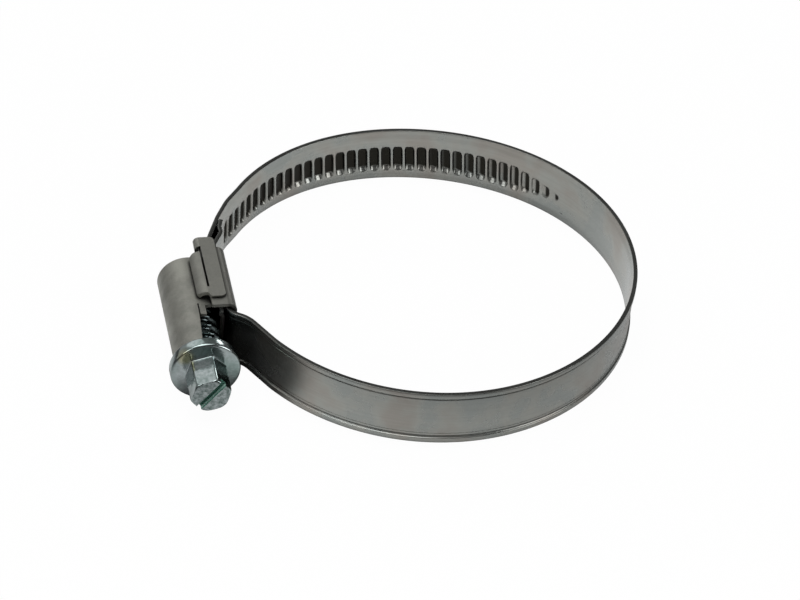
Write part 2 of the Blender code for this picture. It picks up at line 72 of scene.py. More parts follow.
# Rack pressed into the band. Its pockets count from the loop's right to the tail's tip.
RACK_PITCH = 2.43
POCKET_LENGTH = 6.2
POCKET_WIDTH = 2.15
POCKET_CORNER = 0.55
POCKET_LOWER_CORNER = 0.65
POCKET_SIDE_RAMP = 0.36
POCKET_END_RAMP = 0.9
POCKET_DROP = 0.8
RACK_END_ANGLE = 34.5
POCKET_AT_ANGLE = 139.6
FADING_POCKETS = 4
FIRST_POCKET = 0.35
# The pockets' painted shade: the first pockets are painted dark on their far side only, lower ends are
# left bright, pockets 11 to 18 get a dim lower end, and those past 23 are painted dark all over.
FAR_SIDE_SHADED_POCKETS = 16
LAST_BRIGHT_END_POCKET = 23
DIM_END_POCKETS = range(11, 19)
DIM_END_SHADE = 0.45
DARK_SIDE_EDGE = 0.35
DARK_SIDE_FADE = 0.5
BRIGHT_END = 0.7
BRIGHT_END_FADE = 0.5
STRAIGHT_RAMP = 1.3
TAIL_MARGIN = 1.5

# Saddle bracket
SADDLE_INNER = 39.0
SADDLE_NEAR = -11.9
SADDLE_FAR = 4.9
SADDLE_WALL_TOP = 43.8
SHEET = 0.7
FOLD_RADIUS = 1.8
CLEARANCE = 0.3
WALL_INNER = HALF_WIDTH + CLEARANCE
PLATE_NEAR = -10.0
PLATE_FAR = 7.3
PLATE_FOOT = 40.9
PLATE_STEP = 0.55
PLATE_CORNER = 1.0
PLATE_SKIN = WALL_INNER + SHEET + PLATE_STEP
CURL_START = 43.95
CURL_RADIUS = 2.2
CURL_ANGLE = 65.0
TONGUE_NEAR = -8.3
TONGUE_FAR = 3.2
TONGUE_LEAN = 0.6
TONGUE_CORNER = 0.9
SLIT_WIDTH = 0.4
SLIT_END = -7.2
SLIT_CORNER = 0.5
HOOK_NEAR = 4.7
HOOK_OUT = 44.8
HOOK_DROP = 5.0
HOOK_FOLD = 1.1
HOOK_LEAN = 0.8

# How the band lies in the housing. Each bend is (distance out, place along the screw, radius).
FIXED_OUT = SADDLE_INNER + SHEET + CLEARANCE + BAND_THICKNESS / 2
TAIL_OUT = FIXED_OUT + BAND_THICKNESS + CLEARANCE
TAIL_FACE = TAIL_OUT + BAND_THICKNESS / 2
TONGUE_PATH = ((37.9, 14.1, 0.0), (38.5, 12.2, 1.5), (38.4, 10.5, 1.5), (FIXED_OUT, 6.8, 2.0))
NEAR_BENDS = ((FIXED_OUT, -12.6, 2.3), (37.1, -14.6, 6.5))
NEAR_LOOP_ANGLE = 213.0
FAR_LOOP_ANGLE = 505.0
FAR_BENDS = ((36.0, 19.5, 15.0), (38.5, 14.9, 12.0), (TAIL_OUT, 7.9, 9.0))
TAIL_TIP = -11.0
TIP_ROUNDING = 2.0

# Screw
CORE_RADIUS = 3.5
THREAD_ROOT_WIDTH = 1.5
THREAD_CREST_WIDTH = 0.6
THREAD_DEPTH = 0.8
THREAD_PLAY = 0.24
PRESSED_DEPTH = 0.7
SCREW_OUT = TAIL_FACE + PRESSED_DEPTH + THREAD_PLAY + CORE_RADIUS
WORM_TIP = 2.9
TIP_CHAMFER = 0.6
COLLAR_RADIUS = 6.7
COLLAR_THICKNESS = 2.2
COLLAR_BEVEL = 0.5
HEX_ACROSS_FLATS = 7.0
HEX_HEIGHT = 6.9
HEX_CORNER = HEX_ACROSS_FLATS / math.sqrt(3)
HEX_ROOT_MARGIN = 0.4
HEX_FILLET = 0.15
HEX_TURN = 16.0
HEX_CROWN = 1.0
HEX_END_RADIUS = 3.4
HEX_EDGE_LOSS = 0.07
SLOT_WIDTH = 1.3
SLOT_DEPTH = 1.2
SLOT_TURN = 52.0
SLOT_END_SKIN = 0.02

# What the screw tells its finish about a face of the head
STRUCK_SIDE = 0.25
STRUCK_END = 0.5
STRUCK_SLOT = 1.0
LEVEL_NORMAL = 0.9

# Screw cover
COVER_SHEET = 0.7
COVER_INNER = 4.75
COVER_OUTER = COVER_INNER + COVER_SHEET
COVER_NEAR = -20.4
COVER_FAR = 4.0
COVER_EDGE_RISE = 0.6
COVER_TAB_NEAR = -12.6
COVER_TAB_DROP = 1.4
TAB_GROOVE_END = -9.5
COVER_END_TAB_REACH = 2.7
COVER_END_TAB_TOP = 43.7
TAB_GROOVE_WIDTH = 0.25
COVER_LEG_NEAR = -10.2
COVER_LEG_LEAN = 0.6
COVER_FOOT = 0.5
COLLAR_BACK = COVER_NEAR - CLEARANCE
SCREW_END = COLLAR_BACK - COLLAR_THICKNESS - HEX_HEIGHT
HELIX_SLOPE = RACK_PITCH / (2 * math.pi * (CORE_RADIUS + THREAD_DEPTH / 2))

# How finely the round forms are drawn
LOOP_STEP_DEGREES = 0.5
BEND_STEPS = 10
CORNER_STEPS = 8
CURL_STEPS = 14
COVER_STEPS = 64
SCREW_SIDES = 96
EDGE_STEPS = 4
BEVEL_STEPS = 6
FACE_STEPS = 8
THREAD_ROW_GAP = 0.1
PLAIN_RING_GAP = 1.0
BEND_RING_GAP = 0.3
FACING_STRETCH = 0.5
PAST = 1.0
STRIP_SHARP_ANGLE = 60
SHEET_SHARP_ANGLE = 35
SCREW_SHARP_ANGLE = 42
BEVEL_SEGMENTS = 2

# Levels of the band's section: beside its lips, past a pocket's end, and rings near a pocket's middle
LIP_LEVELS = (3.8, 4.25, 4.37, 4.46, 4.55, 4.64, 4.75, 4.82, 4.9, 4.98, 5.05, 5.5)
POCKET_END_LEVELS = (0.05, -0.12, -0.3, -0.5, -0.7, -0.95, -1.3, -2.1)
POCKET_MIDDLE_RINGS = (0.45, 0.15)

# Where finishes change: the strip's painted dark rim below its top, the stretch of its rolling lines, the
# painted shade of pockets and grooves by its share of the full depth, the painted shade at the plate's
# foot, and on the worm
RIM_START = 0.05
RIM_FULL = 0.01
LINE_STRETCH = 30
RECESS_SHADE_START = 0.12
RECESS_SHADE_FULL = 0.75
FOOT_SHADE_END = 0.1
FOOT_SHADE_START = 0.3
WORM_SHADE_FULL = 0.3

# Round patches: the middle's place for in_frame, where they begin and end to fade, and their value
# inside and outside
STRAW_PATCH = ((SCREW_OUT + 4.0, -22.9, 3.8), 0.8, 2.2, 1.0, 0.0)
# BOARD_BOUNCE, COLLAR_SHADE and OUTER_SHADE are painted light and shade on the board that only mirroring
# steel sees: a painted bounce beside the loop's right, painted shadow under the collar, and painted dark
# far from the clamp.
BOARD_BOUNCE = ((-37.0, 8.0, -7.0), 4, 20, 0.85, 0.22)
COLLAR_SHADE = ((43.0, -18.0, -7.0), 9, 17, 0.86, 0.0)
OUTER_SHADE = ((10.0, 3.0, -7.0), 36, 90, 0.0, 0.9)

# Stage. The camera's small turns, in degrees, were fitted to the band's outline in the photo.
CAMERA_WHITE = 0.97
FLOOR_REACH = 3000.0
FLOOR_DROP = 0.05
CAMERA_DISTANCE = 777.16
CAMERA_ELEVATION = 40.0
CAMERA_TILT = 0.325
CAMERA_PAN = 0.308
CAMERA_ROLL = 7.124
HOUSING_AZIMUTH = 15.5
SENSOR_WIDTH = 36.0
CLIP_NEAR = 10.0
CLIP_FAR = 20000.0

# Each lamp's name, place in the frame, width, setting for its power and share of that power
LAMPS = (
    ("key_lamp", (-150, -150, 1000), 900, "key_power", 1.0),
    ("back_panel", (-290, 670, 530), 500, "panel_power", 1.0),
    ("glint_lamp", (480, 670, 360), 150, "glint_power", 1.0),
    ("right_spot", (740, -570, 350), 500, "spot_power", 1.0),
    ("left_spot", (-660, -600, 460), 400, "spot_power", 0.5),
)

# The frame's own boxes give the place of the screw's axis and of the band's middle.
SCREW_LOW, SCREW_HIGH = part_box("worm_screw")
AXIS_X = (SCREW_LOW.x + SCREW_HIGH.x) / 2 / MM
MIDDLE_Z = (SCREW_LOW.z + SCREW_HIGH.z) / 2 / MM
MIDDLE_Y = SCREW_HIGH.y / MM - WORM_TIP
LOOP_X = AXIS_X + SCREW_OUT
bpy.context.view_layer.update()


def linear(code):
    """An sRGB hex colour as linear red, green and blue."""
    parts = [int(code[start:start + 2], 16) / 255 for start in (1, 3, 5)]
    return tuple(part / 12.92 if part <= 0.04045 else ((part + 0.055) / 1.055) ** 2.4 for part in parts)


def length_setting(name, description, millimetres):
    """A length that a user can change."""
    return FloatProperty(name=name, description=description, default=millimetres * MM,
                         unit="LENGTH", subtype="DISTANCE", precision=5)


def colour_setting(name, description, code):
    """A colour that a user can change."""
    return FloatVectorProperty(name=name, description=description, default=linear(code),
                               size=3, subtype="COLOR", min=0, max=1)


def power_setting(name, description, watts):
    """A lamp's power that a user can change."""
    return FloatProperty(name=name, description=description, default=watts, unit="POWER")


class ClampBandSettings(PropertyGroup):
    lip_rise: length_setting("Lip rise", "How far the band's two edges stand outwards", 0.3)
    pocket_depth: length_setting("Pocket depth", "How deep the rack's pockets are pressed", PRESSED_DEPTH)
    edge_radius: length_setting("Edge radius", "Rounding of the strip's rolled edges", 0.09)
    groove_depth: length_setting("Groove depth", "Depth of the roller line beside each raised edge", 0.07)
    colour: colour_setting("Colour", "Rolled strip steel where it's neutral", "#9b9c97")
    haze: colour_setting("Haze", "Rolled strip steel where its zinc coat is hazy", "#929693")
    stain: colour_setting("Stain", "Rolled strip steel where handling left a faint stain", "#98958f")
    # Painted dark reflection: the rim colour is painted onto the strip's upper edge only, standing in for
    # the dark room that edge mirrors.
    rim: colour_setting("Rim", "Sheared upper edge of the strip, duller than its faces", "#5f605d")
    # Painted shade: this recess colour is painted into the pockets and the roller grooves beside the lips.
    recess_shade: colour_setting("Hollow", "Dull dark steel inside the pressed pockets", "#24231f")


class ClampHousingSettings(PropertyGroup):
    edge_radius: length_setting("Edge radius", "Rounding of the stamped sheet's edges", 0.2)
    colour: colour_setting("Colour", "Plated steel of the saddle where it's clean", "#8c8c85")
    # The cover colour is painted lighter than the saddle's, though both are the same plated steel, to make
    # up for the dark board the cover mirrors.
    cover_colour: colour_setting("Cover colour", "Plated steel of the cover where it's clean", "#97978f")
    smudge: colour_setting("Smudge", "Plated steel where it's dull", "#80807a")


class ClampScrewSettings(PropertyGroup):
    thread_depth: length_setting("Thread depth", "Height of the thread over the core", THREAD_DEPTH)
    colour: colour_setting("Colour", "Bright zinc plating", "#acb4b5")
    green_tint: colour_setting("Green tint", "Plating where its film turns green", "#8b9d99")
    straw_tint: colour_setting("Straw tint", "Plating where its film turns yellow", "#aaa67f")
    # Painted shade: this colour darkens the worm from the collar's back onwards, where it lies deep in the
    # housing.
    worm_shade: colour_setting("Oil", "Tint of the oil left on the worm by thread rolling", "#8d9394")
    struck: colour_setting("Struck end", "Plating scuffed dull on the head's end", "#5c6a66")
    slot: colour_setting("Slot", "Green passivation that stays in the slot", "#a3bfb6")


class ClampStageSettings(PropertyGroup):
    floor_colour: colour_setting("Floor colour", "White board that the clamp lies on", "#f6f6f6")
    room_colour: colour_setting("Room colour", "Plain grey studio that the steel mirrors", "#8f8f8f")
    key_power: power_setting("Key lamp", "Power of the large lamp overhead", 7.2)
    panel_power: power_setting("Back panel", "Power of the soft panel behind on the left", 0.6)
    glint_power: power_setting("Glint lamp", "Power of the small lamp behind on the right", 0.5)
    spot_power: power_setting("Spot lamps", "Power of the front right lamp, twice that of the left", 2.6)
    focal_length: FloatProperty(
        name="Focal length", description="Focal length of the camera in millimetres", default=180.0)


def smooth(share):
    """An S-shaped step from 0 to 1."""
    share = min(1.0, max(0.0, share))
    return share * share * (3 - 2 * share)


def quarter(steps):
    """The sine and cosine at even steps of a quarter turn."""
    angles = [math.pi / 2 * step / steps for step in range(steps + 1)]
    return [(math.sin(angle), math.cos(angle)) for angle in angles]


def in_frame(out, y, z):
    """A place given as distance from the loop's axis, along the screw and up, in the frame's metres."""
    return Vector((LOOP_X - out, MIDDLE_Y + y, MIDDLE_Z + z)) * MM


def add_mesh(name, points, faces):
    """A mesh object with its faces turned outwards. The points are in metres."""
    mesh = bpy.data.meshes.new(name)
    mesh.from_pydata(points, [], faces)
    work = bmesh.new()
    work.from_mesh(mesh)
    bmesh.ops.recalc_face_normals(work, faces=work.faces)
    work.to_mesh(mesh)
    work.free()
    item = bpy.data.objects.new(name, mesh)
    bpy.context.scene.collection.objects.link(item)
    return item


def combine(base, other, operation):
    """Join, cut or intersect base with other, and take other away."""
    modifier = base.modifiers.new("combine", "BOOLEAN")
    modifier.operation = operation
    modifier.solver = "EXACT"
    modifier.object = other
    bpy.context.view_layer.update()
    graph = bpy.context.evaluated_depsgraph_get()
    result = bpy.data.meshes.new_from_object(base.evaluated_get(graph))
    base.modifiers.clear()
    base.data = result
    bpy.data.objects.remove(other, do_unlink=True)
    return base


def across_screw(out, z, y):
    """Place a section drawn across the screw."""
    return out, y, z


def along_side(y, out, z):
    """Place an outline drawn on the housing's side."""
    return out, y, z


def loft(name, rings):
    """A closed solid through rings that all have the same number of points."""
    count = len(rings[0])
    points = [point for ring in rings for point in ring]
    faces = [tuple(range(count)), tuple(range(len(points) - 1, len(points) - count - 1, -1))]
    for row in range(len(rings) - 1):
        for index in range(count):
            following = (index + 1) % count
            faces.append((row * count + index, row * count + following,
                          (row + 1) * count + following, (row + 1) * count + index))
    return add_mesh(name, points, faces)


def prism(name, outline, low, high, place):
    """A closed outline carried from low to high. place(a, b, level) gives the point in millimetres."""
    return loft(name, [[in_frame(*place(a, b, level)) for a, b in outline] for level in (low, high)])


def bend_points(before, here, after, radius, steps):
    """The points of a bend of a given radius at the corner here, or the corner itself."""
    if radius <= 0:
        return [here]
    back = (before - here).normalized()
    ahead = (after - here).normalized()
    half = back.angle(ahead) / 2
    centre = here + (back + ahead).normalized() * radius / math.sin(half)
    first = here + back * radius / math.tan(half) - centre
    last = here + ahead * radius / math.tan(half) - centre
    swing = math.pi - 2 * half
    points = []
    for step in range(steps + 1):
        share = step / steps
        a = math.sin((1 - share) * swing) / math.sin(swing)
        b = math.sin(share * swing) / math.sin(swing)
        points.append(centre + first * a + last * b)
    return points


def rounded(corners):
    """A closed outline with its corners rounded. Each corner is (a, b, radius)."""
    outline = []
    for index, (a, b, radius) in enumerate(corners):
        before = Vector(corners[index - 1][:2])
        after = Vector(corners[(index + 1) % len(corners)][:2])
        outline.extend(bend_points(before, Vector((a, b)), after, radius, CORNER_STEPS))
    return [(point.x, point.y) for point in outline]


def dress(item, body, node, material):
    """Let a piece stand for its node: it rides on the body and takes the slot's finish."""
    item.data.materials.clear()
    item.data.materials.append(material)
    for polygon in item.data.polygons:
        polygon.material_index = 0
    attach(item, body)
    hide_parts(node)


def soften(item, radius, sharp_angle):
    """Shade a piece's round faces smooth, and round its edges where a radius is given."""
    for polygon in item.data.polygons:
        polygon.use_smooth = True
    item.data.set_sharp_from_angle(angle=math.radians(sharp_angle))
    if radius > 0:
        bevel = item.modifiers.new("edges", "BEVEL")
        bevel.width = radius
        bevel.segments = BEVEL_SEGMENTS
        bevel.limit_method = "ANGLE"
        bevel.angle_limit = math.radians(sharp_angle)
        bevel.harden_normals = True


# Band

def loop_point(angle):
    """A point of the loop's middle line as (x, y) from the loop's axis, angle in degrees from +X."""
    turn = math.radians(angle)
    share = 1.0
    for lobes, cosine, sine in LOOP_LOBES:
        share += cosine * math.cos(lobes * turn) + sine * math.sin(lobes * turn)
    return Vector((LOOP_RADIUS * share * math.cos(turn), LOOP_RADIUS * share * math.sin(turn)))


def rounded_bends(corners):
    """The points of an open line with its bends rounded, without its first and last corner."""
    points = []
    for index in range(1, len(corners) - 1):
        here, radius = corners[index]
        points.extend(bend_points(corners[index - 1][0], here, corners[index + 1][0], radius, BEND_STEPS))
    return points


class Route:
    """The band's middle line seen from above, from the fixed end's tip to the tail's tip."""

    def __init__(self):
        tongue, near, far = ([(Vector((-out, y)), radius) for out, y, radius in bends]
                             for bends in (TONGUE_PATH, NEAR_BENDS, FAR_BENDS))
        steps = int((FAR_LOOP_ANGLE - NEAR_LOOP_ANGLE) / LOOP_STEP_DEGREES)
        loop = [loop_point(NEAR_LOOP_ANGLE + step * LOOP_STEP_DEGREES) for step in range(steps + 1)]
        tip = Vector((-TAIL_OUT, TAIL_TIP))
        points = [tongue[0][0]]
        points += rounded_bends(tongue + near + [(loop[0], 0.0)])
        points += loop
        points += rounded_bends([(loop[-1], 0.0)] + far + [(tip, 0.0)])
        points.append(tip)
        self.points = points
        self.lengths = [0.0]
        for first, second in zip(points, points[1:]):
            self.lengths.append(self.lengths[-1] + (second - first).length)
        self.total = self.lengths[-1]

    def at(self, length):
        """The point at a length, carried on straight past both ends."""
        ahead = bisect_left(self.lengths, length, 1, len(self.points) - 1)
        start, end = self.lengths[ahead - 1], self.lengths[ahead]
        return self.points[ahead - 1].lerp(self.points[ahead], (length - start) / (end - start))

    def outward(self, length):
        """The direction away from the loop's inside at a length, averaged over a short stretch."""
        along = (self.at(length + FACING_STRETCH) - self.at(length - FACING_STRETCH)).normalized()
        return Vector((along.y, -along.x))

    def length_at_angle(self, angle):
        """The length at which the loop passes an angle."""
        wanted = loop_point(angle)
        nearest = min(range(len(self.points)), key=lambda i: (self.points[i] - wanted).length)
        return self.lengths[nearest]

    def pockets(self):
        """The lengths of all pockets, from the last one on the loop to the one nearest the tail's tip."""
        anchor = self.length_at_angle(360.0 + POCKET_AT_ANGLE)
        first = self.length_at_angle(360.0 + RACK_END_ANGLE)
        last = self.total - TIP_ROUNDING - TAIL_MARGIN
        before = int((anchor - first) / RACK_PITCH)
        after = int((last - anchor) / RACK_PITCH)
        return [anchor + step * RACK_PITCH for step in range(-before, after + 1)]


def pocket_lift(along, z, size, depth):
    """How far a pressed pocket stands out, at a place beside its middle and at z."""
    corner = POCKET_CORNER if z > -POCKET_DROP else POCKET_LOWER_CORNER
    side = abs(along) - POCKET_WIDTH / 2 + corner
    end = abs(z + POCKET_DROP) - POCKET_LENGTH / 2 * size
    end = end * POCKET_SIDE_RAMP / POCKET_END_RAMP + corner
    away = math.hypot(max(side, 0.0), max(end, 0.0)) + min(max(side, end), 0.0) - corner
    rise = min(1.0, max(0.0, -away / POCKET_SIDE_RAMP))
    straight = z + POCKET_DROP < STRAIGHT_RAMP - POCKET_LENGTH / 2 * size
    return depth * size * (rise if straight else smooth(rise))


def section_levels(edge, size):
    """The z levels of the band's section: close together at the lips and at the pockets' ends."""
    lips = (*LIP_LEVELS, HALF_WIDTH - edge)
    ends = [POCKET_LENGTH / 2 + past for past in POCKET_END_LEVELS]
    pocket = sorted([-end for end in ends] + [0.0] + ends)
    return [-z for z in reversed(lips)] + [z * size - POCKET_DROP for z in pocket] + list(lips)


def pocket_shade_share(offset, z, index):
    """How much painted shade a pocket gets. The first pockets are painted dark on their far side only, and
    a pocket's lower end is left bright, apart from a dim stretch and the last ones, which are painted dark
    all over."""
    lower_end = smooth((z + POCKET_DROP + POCKET_LENGTH / 2 - BRIGHT_END) / BRIGHT_END_FADE)
    if index > LAST_BRIGHT_END_POCKET:
        lower_end = 1.0
    elif index in DIM_END_POCKETS:
        lower_end = max(lower_end, DIM_END_SHADE)
    far_side_only = max(0.0, 1 - index / FAR_SIDE_SHADED_POCKETS)
    far_side = smooth((DARK_SIDE_EDGE - offset) / DARK_SIDE_FADE)
    return lower_end * (1 - far_side_only * (1 - far_side))


def band_ring(route, length, slant, size, lift, settings, width=1.0, dark=None):
    """One closed ring of the band, with each point's place on the flat strip and its painted shade."""
    edge = settings.edge_radius / MM
    half = BAND_THICKNESS / 2
    corner = edge * (1 - math.sqrt(0.5))
    levels = section_levels(edge, size)
    top = [(HALF_WIDTH - corner, corner - half), (HALF_WIDTH, edge - half),
           (HALF_WIDTH, half - edge), (HALF_WIDTH - corner, half - corner)]
    places = [(z, -half) for z in levels] + top + [(z, half) for z in reversed(levels)]
    places += [(-z, depth) for z, depth in reversed(top)]
    ring, strip = [], []
    for z, depth in places:
        along = length + slant * z
        place = route.at(along)
        facing = route.outward(along)
        outer = smooth((abs(z) - HALF_WIDTH + LIP_WIDTH) / LIP_STEP)
        inner = smooth((abs(z) - HALF_WIDTH + INNER_FLARE_WIDTH) / INNER_FLARE_WIDTH)
        share = (depth + half) / BAND_THICKNESS
        lip = settings.lip_rise / MM * (inner + (outer - inner) * share)
        groove = smooth(1 - abs(abs(z) - GROOVE_PLACE) / GROOVE_HALF) * share
        lip -= settings.groove_depth / MM * groove
        pressed = lift(z)
        point = place + facing * (depth + lip + pressed)
        ring.append(in_frame(-point.x, point.y, z * width))
        # Painted shade: each point inside a pocket, and in the roller grooves, gets a shade value that the
        # finish paints dark.
        inside = dark(z) if dark and depth < 0 else 0.0
        shade = max(inside * pressed / PRESSED_DEPTH / size, GROOVE_SHADE * groove)
        strip.append((along * MM, z * MM, shade))
    return ring, strip


def build_band(settings, material):
    """The whole strip as one loft: plain round the loop, with a pressed rack towards its tail."""
    route = Route()
    pockets = route.pockets()

    def plain(z):
        return 0.0

    straight_end = route.length_at_angle(NEAR_LOOP_ANGLE)
    rack_start = pockets[0] - RACK_PITCH
    lengths = []
    length = 0.0
    while length < straight_end:
        lengths.append(length)
        length += BEND_RING_GAP
    steps = round((rack_start - length) / PLAIN_RING_GAP)
    lengths += [length + (rack_start - length) * step / steps for step in range(steps + 1)]
    rings = [band_ring(route, length, 0.0, 1.0, plain, settings) for length in lengths]
    half = POCKET_WIDTH / 2
    offsets = [half - POCKET_SIDE_RAMP * step / EDGE_STEPS for step in range(EDGE_STEPS + 1)]
    offsets += POCKET_MIDDLE_RINGS
    offsets = [-offset for offset in offsets] + offsets[::-1]
    for index, place in enumerate(pockets):
        size = FIRST_POCKET + (1 - FIRST_POCKET) * min(1.0, index / FADING_POCKETS)
        for offset in offsets:
            def lift(z):
                return pocket_lift(offset, z, size, settings.pocket_depth / MM)

            def dark(z):
                return pocket_shade_share(offset, z, index)
            rings.append(band_ring(route, place + offset, HELIX_SLOPE, size, lift, settings, dark=dark))
    for rise, run in quarter(BEVEL_STEPS):
        width = 1 - TIP_ROUNDING / HALF_WIDTH * (1 - run)
        back = TIP_ROUNDING * (1 - rise)
        rings.append(band_ring(route, route.total - back, 0.0, 1.0, plain, settings, width))
    band = loft("band_strip", [ring for ring, strip in rings])
    places = [place for ring, strip in rings for place in strip]
    layer = band.data.uv_layers.new(name="strip")
    for loop in band.data.loops:
        layer.data[loop.index].uv = places[loop.vertex_index][:2]
    # Painted shade of the pockets and roller grooves, kept on the mesh for the finish.
    recess_shade = band.data.attributes.new("recess_shade", "FLOAT", "POINT")
    recess_shade.data.foreach_set("value", [place[2] for place in places])
    soften(band, 0.0, STRIP_SHARP_ANGLE)
    flat = band.modifiers.new("flat_faces", "WEIGHTED_NORMAL")
    flat.keep_sharp = True
    dress(band, "clamp", "band", material)


# Housing

def turns(first, last, steps):
    """Even steps from one angle in degrees to another, as radians."""
    return [math.radians(first + (last - first) * step / steps) for step in range(steps + 1)]


def arc(centre_out, radius, first, last):
    """Points of an arc in a section across the screw, angles in degrees from outwards."""
    return [(centre_out + radius * math.cos(turn), radius * math.sin(turn))
            for turn in turns(first, last, COVER_STEPS)]


def curl(out, z, radius, first, last):
    """Points of a curl that starts flat and turns down, angles in degrees from the flat."""
    return [(out + radius * math.sin(turn), z + radius * math.cos(turn))
            for turn in turns(first, last, CURL_STEPS)]


def trimmed_sheet(name, section, outline, side):
    """A bent sheet run along the housing, then trimmed to the outline seen from its side."""
    section = [(out, side * z) for out, z in section]
    sheet = prism(name, section, PLATE_NEAR - PAST, PLATE_FAR + PAST, across_screw)
    deepest = PLATE_SKIN - max(HOOK_DROP, CURL_RADIUS)
    low, high = sorted((side * (deepest - PAST), side * (PLATE_SKIN + PAST)))
    return combine(sheet, prism("trim", outline, low, high, along_side), "INTERSECT")


def crimped_plate(side):
    """The plate on one side of the saddle with its tongue, which is crimped over the cover's edge."""
    centre_z = PLATE_SKIN - SHEET / 2 - CURL_RADIUS
    section = [(PLATE_FOOT, PLATE_SKIN)]
    section += curl(CURL_START, centre_z, CURL_RADIUS + SHEET / 2, 0, CURL_ANGLE)
    section += curl(CURL_START, centre_z, CURL_RADIUS - SHEET / 2, CURL_ANGLE, 0)
    section.append((PLATE_FOOT, PLATE_SKIN - SHEET))
    slit_low = CURL_START - SLIT_WIDTH / 2
    slit_high = CURL_START + SLIT_WIDTH / 2
    edge = CURL_START + CURL_RADIUS
    outline = rounded([
        (PLATE_NEAR, PLATE_FOOT, PLATE_CORNER), (PLATE_NEAR, slit_low, SLIT_CORNER),
        (TONGUE_NEAR - TONGUE_LEAN, slit_high, SLIT_CORNER), (TONGUE_NEAR, edge, TONGUE_CORNER),
        (TONGUE_FAR, edge, TONGUE_CORNER), (TONGUE_FAR, slit_high, 0),
        (SLIT_END, slit_high, 0), (SLIT_END, slit_low, 0), (PLATE_FAR, slit_low, SLIT_CORNER),
        (PLATE_FAR, PLATE_FOOT, PLATE_CORNER)])
    return trimmed_sheet("plate", section, outline, side)


def folded_hook(side):
    """The hook at the plate's far end: it reaches outwards past the cover and folds down."""
    start = HOOK_OUT - HOOK_FOLD
    section = [(PLATE_FOOT + SHEET, PLATE_SKIN)] + curl(start, PLATE_SKIN - HOOK_FOLD, HOOK_FOLD, 0, 90)
    tip = HOOK_OUT - HOOK_LEAN
    section += [(tip, PLATE_SKIN - HOOK_DROP), (tip - SHEET, PLATE_SKIN - HOOK_DROP)]
    section += curl(start, PLATE_SKIN - HOOK_FOLD, HOOK_FOLD - SHEET, 90, 0)
    section.append((PLATE_FOOT + SHEET, PLATE_SKIN - SHEET))
    outline = rounded([(HOOK_NEAR, PLATE_FOOT, 0), (HOOK_NEAR, HOOK_OUT + PAST, 0),
                       (PLATE_FAR, HOOK_OUT + PAST, 0), (PLATE_FAR, PLATE_FOOT, PLATE_CORNER)])
    return trimmed_sheet("hook", section, outline, side)


def build_bracket(settings, material):
    """The saddle under the band with its folded walls and the crimped plate on each side."""
    top = WALL_INNER + SHEET
    inner_fold = FOLD_RADIUS - SHEET
    section = rounded([
        (SADDLE_WALL_TOP, top, 0), (SADDLE_INNER, top, FOLD_RADIUS),
        (SADDLE_INNER, -top, FOLD_RADIUS), (SADDLE_WALL_TOP, -top, 0),
        (SADDLE_WALL_TOP, -WALL_INNER, 0), (SADDLE_INNER + SHEET, -WALL_INNER, inner_fold),
        (SADDLE_INNER + SHEET, WALL_INNER, inner_fold), (SADDLE_WALL_TOP, WALL_INNER, 0)])
    bracket = prism("saddle_sheet", section, SADDLE_NEAR, SADDLE_FAR, across_screw)
    for side in (1, -1):
        plate = combine(crimped_plate(side), folded_hook(side), "UNION")
        combine(bracket, plate, "UNION")
    soften(bracket, settings.edge_radius, SHEET_SHARP_ANGLE)
    dress(bracket, "clamp", "saddle_bracket", material)


def build_cover(settings, lip_rise, material):
    """The half-round cover over the worm: a folded section trimmed to its side outline."""
    foot = TAIL_FACE + lip_rise + CLEARANCE
    outer, inner = COVER_OUTER, COVER_INNER
    flange = outer + COVER_FOOT
    section = [(foot, flange), (foot + COVER_SHEET, flange), (foot + COVER_SHEET, outer)]
    section += arc(SCREW_OUT, outer, 90, -90)
    section += [(foot + COVER_SHEET, -outer), (foot + COVER_SHEET, -flange), (foot, -flange),
                (foot, -inner)]
    section += arc(SCREW_OUT, inner, -90, 90)
    section += [(foot, inner)]
    cover = prism("cover_sheet", section, COVER_NEAR, COVER_FAR, across_screw)
    wall_edge = (inner + outer) / 2
    wall_foot = TAIL_FACE + PRESSED_DEPTH + CLEARANCE
    wall = arc(SCREW_OUT, wall_edge, 90, -90) + [(wall_foot, -wall_edge), (wall_foot, wall_edge)]
    combine(cover, prism("wall", wall, COVER_FAR - COVER_SHEET, COVER_FAR, across_screw), "UNION")
    top = SCREW_OUT + outer + PAST
    tab = SCREW_OUT - COVER_TAB_DROP
    trim = [(COVER_NEAR - PAST, SCREW_OUT + COVER_EDGE_RISE), (COVER_TAB_NEAR, SCREW_OUT),
            (COVER_TAB_NEAR, tab), (COVER_LEG_NEAR, tab), (COVER_LEG_NEAR + COVER_LEG_LEAN, foot - PAST),
            (COVER_FAR + PAST, foot - PAST), (COVER_FAR + PAST, top), (COVER_NEAR - PAST, top)]
    across = (-flange - PAST, flange + PAST, along_side)
    combine(cover, prism("trim", trim, *across), "INTERSECT")
    tab_low = SCREW_OUT - TAB_GROOVE_WIDTH
    groove = [(COVER_TAB_NEAR - PAST, tab_low), (TAB_GROOVE_END, tab_low),
              (TAB_GROOVE_END, SCREW_OUT), (COVER_TAB_NEAR - PAST, SCREW_OUT)]
    combine(cover, prism("tab_groove", groove, *across), "DIFFERENCE")
    start, end = COVER_FAR - COVER_SHEET, COVER_FAR + COVER_END_TAB_REACH
    end_tab = [(start, foot), (end, foot), (end, COVER_END_TAB_TOP), (start, COVER_END_TAB_TOP)]
    for low, high in ((inner, outer), (-outer, -inner)):
        combine(cover, prism("end_tab", end_tab, low, high, along_side), "UNION")
    soften(cover, settings.edge_radius, SHEET_SHARP_ANGLE)
    dress(cover, "clamp", "screw_cover", material)


# Screw

